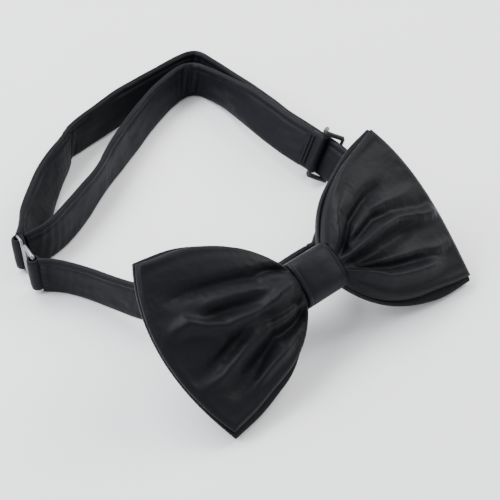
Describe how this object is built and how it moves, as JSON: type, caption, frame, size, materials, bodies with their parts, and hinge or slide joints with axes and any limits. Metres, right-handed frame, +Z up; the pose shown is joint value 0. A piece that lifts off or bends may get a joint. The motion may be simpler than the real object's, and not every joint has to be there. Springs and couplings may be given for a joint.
{
  "type": "bow tie",
  "caption": "Pre-tied satin bow tie with two stacked layers, a wrapped knot and an adjustable neck band closed by a metal hook and a wire ring.",
  "frame": {"origin": "on the resting surface, below the middle of the whole tie", "axes": "+X along the bow, +Y from the bow to the far side of the neck loop, +Z up from the surface"},
  "size_m": [0.1287, 0.1709, 0.0448],
  "materials": {
    "satin": "satin weave, soft sheen",
    "interlining": "non-woven, matte",
    "thread": "polyester thread",
    "clasp_metal": "nickel-plated",
    "slide_plastic": "black, semi-gloss"
  },
  "bodies": {
    "bow": {"front_outer_panel": "satin", "front_interlining": "interlining", "front_inner_panel": "satin", "rear_inner_panel": "satin", "rear_interlining": "interlining", "rear_outer_panel": "satin", "gather_thread": "thread", "knot_interlining": "interlining", "knot_wrap": "satin", "knot_stitches": "thread", "centre_band_cover": "satin", "centre_band_interlining": "interlining"},
    "short_band": {"short_band_cover": "satin", "short_band_interlining": "interlining", "short_band_loop": "satin", "short_band_tack": "thread"},
    "catch_ring": {"catch_ring": "clasp_metal"},
    "long_band": {"long_band_cover": "satin", "long_band_interlining": "interlining", "long_band_loop": "satin", "return_band_cover": "satin", "return_band_interlining": "interlining", "slack_band_cover": "satin", "slack_band_interlining": "interlining"},
    "hook": {"hook": "clasp_metal"},
    "slide": {"slide_frame": "slide_plastic", "slide_loop": "satin", "slide_tack": "thread"}
  },
  "joints": [
    {"name": "short_band_swing", "type": "hinge", "parent": "bow", "child": "short_band", "pos_m": [-0.01435, -0.05505, 0.0169], "axis": [0, 0, 1], "range_deg": [0, 18]},
    {"name": "ring_swing", "type": "hinge", "parent": "short_band", "child": "catch_ring", "pos_m": [-0.0618, 0.0178, 0.0085], "axis": [0, 0, 1], "range_deg": [0, 50]},
    {"name": "long_band_swing", "type": "hinge", "parent": "bow", "child": "long_band", "pos_m": [0.00975, -0.05505, 0.0169], "axis": [0, 0, -1], "range_deg": [0, 16]},
    {"name": "hook_swing", "type": "hinge", "parent": "long_band", "child": "hook", "pos_m": [-0.0595, 0.0313, 0.0085], "axis": [0, 0, 1], "range_deg": [0, 35]},
    {"name": "slide_travel", "type": "slide", "parent": "long_band", "child": "slide", "axis": [0, 1, 0], "range_m": [0, 0.02], "deforming": ["slack_band_cover", "slack_band_interlining"]}
  ]
}
